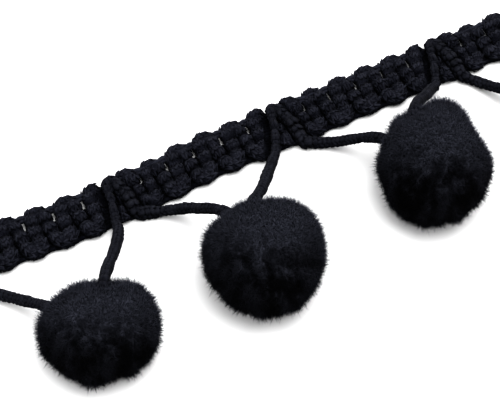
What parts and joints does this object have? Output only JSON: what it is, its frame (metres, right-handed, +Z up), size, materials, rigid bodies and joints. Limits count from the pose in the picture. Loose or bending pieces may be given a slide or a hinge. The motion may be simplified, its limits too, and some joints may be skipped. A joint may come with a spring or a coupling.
{
  "type": "pompom fringe trim",
  "caption": "Cut length of knitted braid with round pile pompoms hung from a looped festoon cord, laid flat on a surface.",
  "frame": {"origin": "on the heading's flat underside, at the middle of the trim's length", "axes": "+X along the heading, +Y across it and away from the pompoms, +Z up from the surface that the trim lies on"},
  "size_m": [0.1377, 0.039, 0.0177],
  "materials": {
    "laid_cord": "knitted navy-black cord, matt with a soft fibre sheen",
    "festoon_cord": "fine knitted navy-black cord, matt",
    "pile": "dense cut pile, matt and velvety"
  },
  "bodies": {
    "root": {"heading": "laid_cord", "festoon_1": "festoon_cord", "festoon_2": "festoon_cord", "festoon_3": "festoon_cord", "festoon_4": "festoon_cord", "festoon_5": "festoon_cord", "pompom_1": "pile", "pompom_2": "pile", "pompom_3": "pile", "pompom_4": "pile"}
  },
  "joints": []
}
